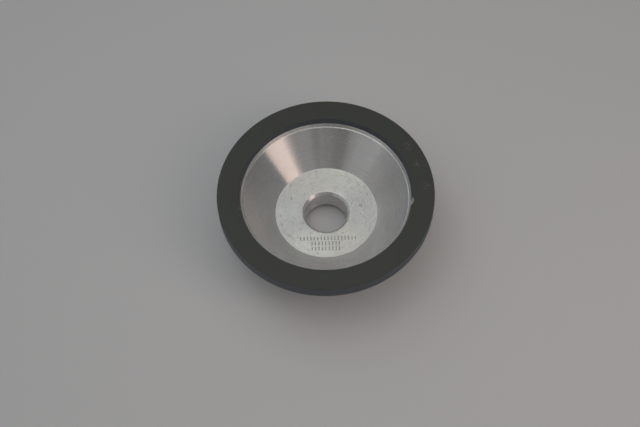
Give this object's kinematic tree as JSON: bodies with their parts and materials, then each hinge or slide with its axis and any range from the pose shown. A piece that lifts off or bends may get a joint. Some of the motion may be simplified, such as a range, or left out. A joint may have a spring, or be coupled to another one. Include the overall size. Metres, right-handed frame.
{
  "type": "flaring cup grinding wheel",
  "caption": "Flaring cup grinding wheel with a flat resin-bond diamond rim on a turned aluminium body with a central arbor bore.",
  "frame": {"origin": "centre of the flat back of the hub, on the spindle axis, where the wheel rests when it lies face up", "axes": "+Z along the spindle axis, from the back towards the grinding face; +X and +Y lie in the back plane and are equivalent"},
  "size_m": [0.1, 0.1, 0.032],
  "materials": {
    "turned_aluminium": "fine turned, bright satin with circular tool marks",
    "backing_resin": "moulded phenolic resin, near black, dull satin",
    "diamond_resin": "resin bond with diamond grit, dark olive grey, matt and finely grained"
  },
  "bodies": {
    "root": {"aluminium_body": "turned_aluminium", "resin_backing_ring": "backing_resin", "diamond_abrasive_ring": "diamond_resin"}
  },
  "joints": []
}
